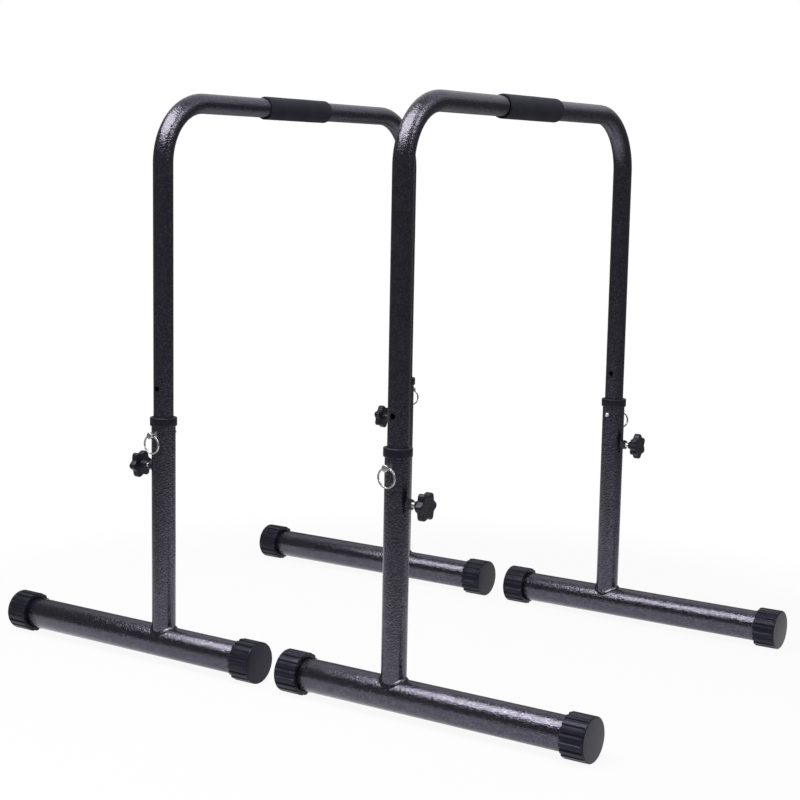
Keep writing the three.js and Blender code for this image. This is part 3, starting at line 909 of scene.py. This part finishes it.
class DIP_OT_weld_beads(PieceOperator, bpy.types.Operator):
    """Lays a rippled weld bead along the saddle line of each upright"""

    bl_idname = "dip_station.weld_beads"
    bl_label = "Weld Beads"

    def execute(self, context):
        tubes = context.scene.dip_station.tubes
        feet = context.scene.dip_station.feet
        rings = []
        path = 0.0
        before = None
        for angle in turns(steps=240):
            corner = self.section(tubes, feet, angle, path)[0]
            if before is not None:
                path += (corner - before).length
            before = corner
            rings.append(self.section(tubes, feet, angle, path))
        mesh = smooth(build_mesh("weld_bead", rings, closes=True), sharp_over=50)
        add_to_legs("weld_seam", mesh, "weld_bead", "hammered_paint")
        return {"FINISHED"}

    def section(self, tubes, feet, angle, path):
        """A closed section: along the foot from the upright outwards, and back over the bead's crown."""
        foot = tubes.foot_diameter / 2 + tubes.fit_gap
        inner = tubes.upright_diameter / 2 + tubes.fit_gap
        ripple = feet.weld_ripple * math.sin(2 * math.pi * path / feet.weld_pitch)
        unsteadiness, waves, swell_share, swell_rise = 1.5, 3, 0.1, 0.6
        unsteady = feet.weld_ripple * unsteadiness * noise.noise(polar(1, angle, 0) * waves)
        leg = min(feet.weld_leg + ripple + unsteady, WELD_REACH - inner)

        def on_foot(radius):
            return FOOT_HEIGHT + math.sqrt(foot**2 - (radius * math.sin(angle)) ** 2)

        points = [(inner + leg * part, on_foot(inner + leg * part)) for part in (0, 0.5, 1)]
        crown_steps = 7
        for step in range(1, crown_steps + 1):
            part = step / crown_steps
            swell = swell_share * leg * math.sin(math.pi * part)
            radius = inner + leg * (1 - part) + swell
            points.append((radius, on_foot(min(radius, WELD_REACH)) + leg * part + swell * swell_rise))
        return [polar(radius, angle, height) for radius, height in points]


class DIP_OT_collars(PieceOperator, bpy.types.Operator):
    """Turns the plastic collars on the mouths of the uprights"""

    bl_idname = "dip_station.collars"
    bl_label = "Collars"

    def execute(self, context):
        tubes = context.scene.dip_station.tubes
        collar = context.scene.dip_station.collar
        bore = tubes.bar_diameter / 2 + tubes.fit_gap
        sleeve = tubes.upright_diameter / 2 - tubes.upright_wall - tubes.fit_gap
        skirt = tubes.upright_diameter / 2 + tubes.fit_gap
        outer = COLLAR_DIAMETER / 2
        bottom = COLLAR_TOP - collar.height
        seat = COLLAR_TOP - collar.top_wall
        skirt_rounding, mouth_rounding = 0.0004, 0.0006
        points = [
            (bore, SLEEVE_END, BURR),
            (sleeve, SLEEVE_END, BURR),
            (sleeve, seat, 0),
            (skirt, seat, 0),
            (skirt, bottom, skirt_rounding),
            (outer, bottom, collar.lower_rounding),
            (outer, COLLAR_TOP, collar.upper_rounding),
            (bore, COLLAR_TOP, mouth_rounding),
        ]
        mesh = smooth(turned("collar", points, tubes.sides))
        add_to_legs("collar_ring", mesh, "collar", "moulded_plastic")
        return {"FINISHED"}


class DIP_OT_clamp_nuts(PieceOperator, bpy.types.Operator):
    """Cuts the chamfered hexagon nuts that are welded on the uprights"""

    bl_idname = "dip_station.clamp_nuts"
    bl_label = "Clamp Nuts"

    def execute(self, context):
        tubes = context.scene.dip_station.tubes
        outer = tubes.upright_diameter / 2 + tubes.fit_gap
        corner = NUT_ACROSS_FLATS / (2 * math.cos(math.pi / 6))
        face_share, cone_angle, chamfer, pipe_reach = 0.96, math.radians(30), 0.0006, 0.03
        nut_start, cone_start, beyond = outer * 0.7, outer * 0.5, corner * 1.2
        face = NUT_ACROSS_FLATS / 2 * face_share
        fall = (beyond - face) * math.tan(cone_angle)
        bore = STUD_DIAMETER / 2 + tubes.fit_gap
        hexagon = column("clamp_nut", ((corner, nut_start), (corner, NUT_REACH)), sides=6)
        cone = column("cone", ((beyond, cone_start), (beyond, NUT_REACH - fall), (face, NUT_REACH)), sides=64)
        mouth = ((bore, 0), (bore, NUT_REACH - chamfer), (bore + 2 * chamfer, NUT_REACH + chamfer))
        mesh = carved(carved(hexagon, cone, "INTERSECT"), column("entry", mouth, sides=48))
        lay(mesh, AWAY_FROM_X, KNOB_HEIGHT)
        pipe = column("pipe", ((outer, KNOB_HEIGHT - pipe_reach), (outer, KNOB_HEIGHT + pipe_reach)), sides=96)
        mesh = smooth(carved(mesh, pipe), sharp_over=12)
        add_to_legs("hexagon_nut", mesh, "clamp_nut", "hammered_paint")
        return {"FINISHED"}


class DIP_OT_clamp_studs(PieceOperator, bpy.types.Operator):
    """Rolls the studs' threads"""

    bl_idname = "dip_station.clamp_studs"
    bl_label = "Clamp Studs"

    def execute(self, context):
        clamp = context.scene.dip_station.clamp
        sides, rows_per_turn, crest_slope, end_chamfer = 32, 10, 2.5, 0.0006
        length = STUD_FAR_END - STUD_NEAR_END
        rows = round(length / clamp.thread_pitch * rows_per_turn)
        rings = []
        for row in range(rows + 1):
            height = STUD_NEAR_END + length * row / rows
            chamfer = end_chamfer * max(1 - min(row, rows - row) / rows_per_turn, 0)
            ring = []
            for step, angle in enumerate(turns(sides)):
                phase = (height / clamp.thread_pitch - step / sides) % 1.0
                crest = min(abs(phase - 0.5) * crest_slope, 1.0)
                depth = max(clamp.thread_depth * (1 - crest), chamfer)
                ring.append(polar(STUD_DIAMETER / 2 - depth, angle, height))
            rings.append(ring)
        mesh = build_mesh("clamp_stud", rings, ends="filled")
        lay(mesh, AWAY_FROM_X, KNOB_HEIGHT)
        add_to_legs("threaded_stud", smooth(mesh, sharp_over=60), "clamp_stud", "zinc_plate")
        return {"FINISHED"}


class DIP_OT_clamp_knobs(PieceOperator, bpy.types.Operator):
    """Moulds the star knobs: a round hub that swells into a lobed rim"""

    bl_idname = "dip_station.clamp_knobs"
    bl_label = "Clamp Knobs"

    def execute(self, context):
        clamp = context.scene.dip_station.clamp
        tubes = context.scene.dip_station.tubes
        bore = STUD_DIAMETER / 2 + tubes.fit_gap
        bore_end = STUD_FAR_END + tubes.fit_gap
        hub = clamp.hub_diameter / 2
        neck = KNOB_BASE + clamp.hub_length
        back, face = clamp.back_rounding, clamp.face_rounding
        bore_chamfer, hub_edge, fillet, dish, steps_per_lobe = 0.0004, 0.0006, 0.0016, 0.0005, 20
        round_levels = [
            (0, bore_end),
            (bore, bore_end),
            (bore, KNOB_BASE + bore_chamfer),
            (bore + bore_chamfer, KNOB_BASE),
            (hub - hub_edge, KNOB_BASE),
            (hub - hub_edge / 3, KNOB_BASE + hub_edge / 3),
            (hub, KNOB_BASE + hub_edge),
        ]
        round_levels += [(hub + fillet * out, neck - fillet * drop) for out, drop in quarter(steps=6)]
        angles = turns(clamp.lobes * steps_per_lobe)
        rings = [[polar(radius, angle, height) for angle in angles] for radius, height in round_levels]
        rings += [self.star_ring(clamp, angles, neck + back * rise, back * inset) for rise, inset in quarter(steps=6)]
        front = quarter(steps=8)
        rings += [self.star_ring(clamp, angles, KNOB_FACE - face * drop, face * inset) for inset, drop in front]
        for part in (0.8, 0.55, 0.3):
            sunk = KNOB_FACE - dish * (1 - part) ** 1.5
            rings.append([Vector((p.x * part, p.y * part, sunk)) for p in rings[-1]])
        rings.append([Vector((0, 0, KNOB_FACE - dish)) for _ in angles])
        mesh = smooth(build_mesh("clamp_knob", rings), sharp_over=50)
        for leg in LEGS:
            own_turn = Matrix.Rotation(getattr(clamp, f"{leg}_turn"), 4, "X")
            place = leg_place(leg) @ Matrix.Translation((0, 0, KNOB_HEIGHT)) @ own_turn @ AWAY_FROM_X
            add_piece(f"{leg}_star_knob", mesh, place, f"{leg}_clamp_knob", "moulded_plastic")
        return {"FINISHED"}

    def star_ring(self, clamp, angles, height, inset):
        radius = clamp.tip_diameter / 2 - inset
        depth = clamp.lobe_depth / 2
        return [polar(radius - depth * (1 - math.cos(clamp.lobes * angle)), angle, height) for angle in angles]


class DIP_OT_lock_pins(PieceOperator, bpy.types.Operator):
    """Turns the lock pins, with a domed tip, a shouldered head and the ring's cross hole"""

    bl_idname = "dip_station.lock_pins"
    bl_label = "Lock Pins"

    def execute(self, context):
        tubes = context.scene.dip_station.tubes
        lock = context.scene.dip_station.lock
        shank, head = lock.shank_diameter / 2, lock.head_diameter / 2
        shoulder = tubes.upright_diameter / 2 + tubes.fit_gap
        points = [(shank * (1 - inset), shank * rise - PIN_TIP, 0) for rise, inset in quarter(steps=8)]
        points += [
            (shank, shoulder, 0),
            (head, shoulder, lock.head_rounding),
            (head, PIN_HEAD_END, lock.head_rounding),
            (0, PIN_HEAD_END, 0),
        ]
        pin = turned("lock_pin", points, sides=48, closes=False)
        eye = drill("X", (0, 0, PIN_EYE), reach=head * 1.5, radius=lock.eye_diameter / 2, sides=32)
        mesh = carved(pin, eye)
        lay(mesh, AWAY_FROM_Y, PIN_HEIGHT)
        add_to_legs("locking_pin", smooth(mesh), "lock_pin", "zinc_plate", lock=True)
        return {"FINISHED"}


class DIP_OT_pin_rings(PieceOperator, bpy.types.Operator):
    """Winds the split rings: two turns of flat wire side by side, with a step between them"""

    bl_idname = "dip_station.pin_rings"
    bl_label = "Pin Rings"

    def execute(self, context):
        lock = context.scene.dip_station.lock
        radius = RING_OUTER_DIAMETER / 2 - lock.ring_wire / 2
        centre = RING_TOP - RING_OUTER_DIAMETER / 2
        end_gap, start, steps = math.radians(7), math.radians(200), 240
        rings = []
        for step in range(steps + 1):
            wound = end_gap + (4 * math.pi - 2 * end_gap) * step / steps
            side = (eased((wound - 2 * math.pi + end_gap) / (2 * end_gap)) - 0.5) * (lock.ring_wire / 2)
            rings.append(self.section(lock, radius, wound + start, side))
        mesh = build_mesh("pin_ring", rings, ends="filled")
        mesh.transform(Matrix.Translation((0, -PIN_EYE, centre)) @ AWAY_FROM_Y)
        add_to_legs("split_ring", smooth(mesh, sharp_over=60), "pin_ring", "zinc_plate", lock=True)
        return {"FINISHED"}

    def section(self, lock, radius, angle, side):
        """A rounded oblong across the wire: twice as deep as it is wide."""
        wide, deep = lock.ring_wire / 4 - lock.ring_turn_gap / 2, lock.ring_wire / 2
        soften, corner_steps = 0.0003, 3
        ring = []
        for corner, (across, out) in enumerate(((1, 1), (-1, 1), (-1, -1), (1, -1))):
            for step in range(corner_steps + 1):
                around = math.pi / 2 * (corner + step / corner_steps)
                x = across * (wide - soften) + soften * math.cos(around)
                y = out * (deep - soften) + soften * math.sin(around)
                ring.append(polar(radius + y, angle, side + x))
        return ring


class DIP_OT_stage(PieceOperator, bpy.types.Operator):
    """Sets up the pale floor, the soft light and the camera at the photograph's angle"""

    bl_idname = "dip_station.stage"
    bl_label = "Stage"

    def execute(self, context):
        stage = context.scene.dip_station.stage
        context.scene.view_settings.view_transform = "Standard"
        self.add_camera(context)
        self.add_floor(stage)
        self.add_far_floor(stage)
        self.add_tent(stage)
        key = (stage.key_width, stage.key_depth, KEY_PLACE, KEY_TARGET)
        side = (stage.side_size, stage.side_size, SIDE_PLACE, SIDE_TARGET)
        self.add_soft_box("key_soft_box", stage.key_power, stage.key_gloss, *key)
        self.add_soft_box("side_soft_box", stage.side_power, stage.side_gloss, *side)
        self.make_world(context, stage)
        return {"FINISHED"}

    def add_camera(self, context):
        data = bpy.data.cameras.new("photo_camera")
        data.sensor_width = SENSOR_WIDTH
        data.sensor_fit = "HORIZONTAL"
        data.lens = CAMERA_LENS
        data.shift_x, data.shift_y = CAMERA_SHIFT
        data.clip_end = FARTHEST_VIEW
        camera = add_object("photo_camera", data)
        camera.matrix_world = (
            Matrix.Translation(CAMERA_PLACE)
            @ Matrix.Rotation(CAMERA_YAW, 4, "Z")
            @ Matrix.Rotation(math.pi / 2 - CAMERA_PITCH, 4, "X")
            @ Matrix.Rotation(CAMERA_ROLL, 4, "Z")
        )
        context.scene.camera = camera

    def white_for_views(self, tree):
        """One for what the camera sees, directly, in gloss or through clear parts, and nought for the rest."""
        rays = add_node(tree, "ShaderNodeLightPath").outputs
        seen = calculate(tree, "MAXIMUM", rays["Is Camera Ray"], rays["Is Glossy Ray"])
        return calculate(tree, "MAXIMUM", seen, rays["Is Transmission Ray"])

    def bare_material(self, mesh, name):
        """The empty node tree of a new material on a piece of the stage."""
        material = bpy.data.materials.new(name)
        material.use_nodes = True
        material.node_tree.nodes.clear()
        mesh.materials.append(material)
        return material.node_tree

    def mix_shaders(self, tree, factor, first, second):
        return add_node(tree, "ShaderNodeMixShader", {0: factor, 1: first, 2: second}).outputs[0]

    def glow(self, tree, colour, strength):
        return add_node(tree, "ShaderNodeEmission", {"Color": colour, "Strength": strength}).outputs[0]

    def show(self, tree, surface):
        add_node(tree, "ShaderNodeOutputMaterial", {"Surface": surface})

    def disc(self, name, radius):
        return build_mesh(name, [circle(reach, 0, sides=128) for reach in (0.0, radius)])

    def add_floor(self, stage):
        """The floor that the camera sees: matt under the object's shadow, and clear towards its edge."""
        mesh = self.disc("floor", stage.floor_radius)
        floor = add_object("floor", mesh)
        floor.location.z = -FLOOR_DROP
        tree = self.bare_material(mesh, "pale_floor")
        matt = add_node(tree, "ShaderNodeBsdfDiffuse", {"Color": stage.floor_colour}).outputs[0]
        share_of_glow = calculate(tree, "MULTIPLY", self.white_for_views(tree), FLOOR_GLOW)
        lit = self.mix_shaders(tree, share_of_glow, matt, self.glow(tree, WHITE, 1.0))
        point = add_node(tree, "ShaderNodeTexCoord").outputs["Object"]
        away = add_node(tree, "ShaderNodeVectorMath", {0: point}, operation="LENGTH").outputs["Value"]
        fade = remap(tree, away, (stage.floor_full, stage.floor_radius * FADE_END))
        clear = add_node(tree, "ShaderNodeBsdfTransparent").outputs[0]
        self.show(tree, self.mix_shaders(tree, fade, lit, clear))

    def add_unseen(self, name, mesh):
        """A piece of the stage that only glossy rays meet."""
        piece = add_object(name, mesh)
        piece.visible_camera = False
        piece.visible_diffuse = False
        piece.visible_shadow = False
        piece.visible_transmission = False
        return piece

    def add_far_floor(self, stage):
        """The floor past its faded edge, which only reflections meet."""
        mesh = self.disc("far_floor", stage.floor_reach)
        self.add_unseen("far_floor", mesh).location.z = -FAR_FLOOR_DROP
        tree = self.bare_material(mesh, "far_floor_cloth")
        self.show(tree, self.glow(tree, WHITE, stage.far_glow))

    def add_tent(self, stage):
        """A dark tent all round the stage, which only reflections meet, paler high at the back."""
        steps, sides = 32, 64
        rises = [math.pi * step / steps - math.pi / 2 for step in range(steps + 1)]
        radius = stage.tent_radius
        mesh = build_mesh("tent", [circle(radius * math.cos(rise), radius * math.sin(rise), sides) for rise in rises])
        self.add_unseen("tent", mesh).location.z = TENT_HEIGHT
        tree = self.bare_material(mesh, "dark_cloth")
        point = add_node(tree, "ShaderNodeTexCoord").outputs["Object"]
        direction = add_node(tree, "ShaderNodeVectorMath", {0: point}, operation="NORMALIZE").outputs[0]
        parts = add_node(tree, "ShaderNodeSeparateXYZ", {0: direction}).outputs
        high = remap(tree, parts["Z"], PALE_UPWARDS)
        back = remap(tree, parts["Y"], PALE_BACKWARDS)
        pale = calculate(tree, "MULTIPLY", calculate(tree, "MULTIPLY", high, back), stage.back_glow)
        self.show(tree, self.glow(tree, TENT_COLOUR, calculate(tree, "ADD", pale, stage.tent_glow)))

    def add_soft_box(self, name, power, gloss, width, depth, place, target):
        """A lamp for the even light, with a bright sheet in its place that only reflections meet."""
        data = bpy.data.lights.new(name, "AREA")
        data.shape = "RECTANGLE"
        data.size = width
        data.size_y = depth
        data.energy = power
        lamp = add_object(name, data)
        lamp.location = Vector(place)
        lamp.rotation_mode = "QUATERNION"
        lamp.rotation_quaternion = (Vector(target) - lamp.location).to_track_quat("-Z", "Y")
        lamp.visible_camera = False
        lamp.visible_glossy = False
        corners = [(x * width / 2, y * depth / 2, 0.0) for x, y in ((-1, -1), (1, -1), (1, 1), (-1, 1))]
        mesh = bpy.data.meshes.new(f"{name}_sheet")
        mesh.from_pydata(corners, [], [(0, 1, 2, 3)])
        sheet = self.add_unseen(f"{name}_sheet", mesh)
        sheet.rotation_mode = "QUATERNION"
        sheet.rotation_quaternion = lamp.rotation_quaternion
        sheet.location = lamp.location
        tree = self.bare_material(mesh, f"{name}_cloth")
        self.show(tree, self.glow(tree, BOX_COLOUR, gloss))

    def make_world(self, context, stage):
        """White wherever it is seen, and a grey even light for the rest."""
        world = bpy.data.worlds.new("studio")
        context.scene.world = world
        world.use_nodes = True
        tree = world.node_tree
        background = tree.nodes["Background"]
        background.inputs["Color"].default_value = (*WHITE, 1.0)
        sockets = {"Value": self.white_for_views(tree), "To Min": stage.fill_strength, "To Max": 1.0}
        strength = add_node(tree, "ShaderNodeMapRange", sockets).outputs[0]
        tree.links.new(strength, background.inputs["Strength"])


OPERATORS = tuple(PieceOperator.__subclasses__())


class DIP_PT_sidebar(bpy.types.Panel):
    """Lists the dip station's settings and the steps that build it"""

    bl_idname = "DIP_PT_sidebar"
    bl_label = "Dip Station"
    bl_space_type = "VIEW_3D"
    bl_region_type = "UI"
    bl_category = "Dip Station"

    def draw(self, context):
        layout = self.layout
        station = context.scene.dip_station
        for group_name in station.bl_rna.properties.keys():
            group = getattr(station, group_name)
            if not isinstance(group, bpy.types.PropertyGroup):
                continue
            box = layout.box()
            box.label(text=group_name.capitalize())
            for setting in group.bl_rna.properties.keys():
                if setting not in ("rna_type", "name"):
                    box.prop(group, setting)
        for operator in OPERATORS:
            layout.operator(operator.bl_idname)


CLASSES = (
    DIP_PG_tubes,
    DIP_PG_feet,
    DIP_PG_collar,
    DIP_PG_grip,
    DIP_PG_clamp,
    DIP_PG_lock,
    DIP_PG_finish,
    DIP_PG_stage,
    DIP_PG_station,
    *OPERATORS,
    DIP_PT_sidebar,
)


def register():
    for item in CLASSES:
        bpy.utils.register_class(item)
    bpy.types.Scene.dip_station = PointerProperty(type=DIP_PG_station)


def unregister():
    del bpy.types.Scene.dip_station
    for item in reversed(CLASSES):
        bpy.utils.unregister_class(item)


def main():
    register()
    for operator in OPERATORS:
        getattr(bpy.ops.dip_station, operator.bl_idname.split(".")[1])()


if __name__ == "__main__":
    main()
